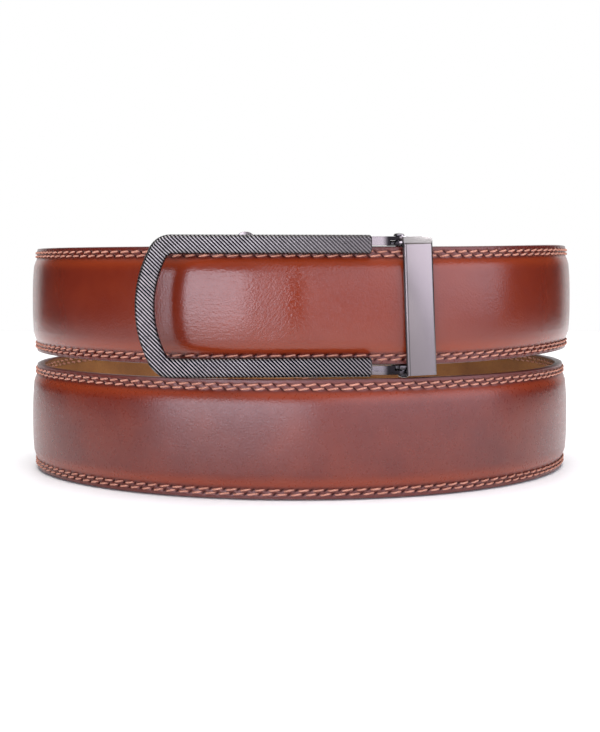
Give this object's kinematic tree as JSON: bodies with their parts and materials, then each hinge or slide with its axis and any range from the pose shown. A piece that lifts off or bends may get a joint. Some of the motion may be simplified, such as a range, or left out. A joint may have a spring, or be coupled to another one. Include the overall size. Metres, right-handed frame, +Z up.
{
  "type": "ratchet belt",
  "caption": "Padded leather ratchet belt, buckled and coiled on edge, with a grooved gunmetal buckle, keeper and release lever.",
  "frame": {"origin": "middle of the bounding box at the floor that the lower turn stands on", "axes": "+Z up, the buckle faces -Y, +X to the right of someone who looks at the buckle"},
  "size_m": [0.188, 0.1896, 0.0781],
  "materials": {
    "leather_face": "polished cognac brown",
    "leather_lining": "matt olive tan",
    "track": "dark brown, satin",
    "grooved_metal": "gunmetal plate with fine slanting grooves",
    "smooth_metal": "polished pale gunmetal plate"
  },
  "bodies": {
    "root": {"strap": "leather_face", "strap_lining": "leather_lining", "ratchet_track": "track", "buckle_frame": "grooved_metal", "buckle_body": "smooth_metal", "lever_pin": "smooth_metal", "keeper_clamp": "smooth_metal", "clamp_rivet_top": "smooth_metal", "clamp_rivet_bottom": "smooth_metal"},
    "lever": {"release_lever": "smooth_metal"}
  },
  "joints": [
    {"name": "lever_release", "type": "hinge", "parent": "root", "child": "lever", "pos_m": [0.01208, -0.07998, 0.05625], "axis": [0, 0, -1], "range_deg": [0, 10], "stiffness_Nm_per_rad": 0.02, "springref_deg": -5.73}
  ]
}
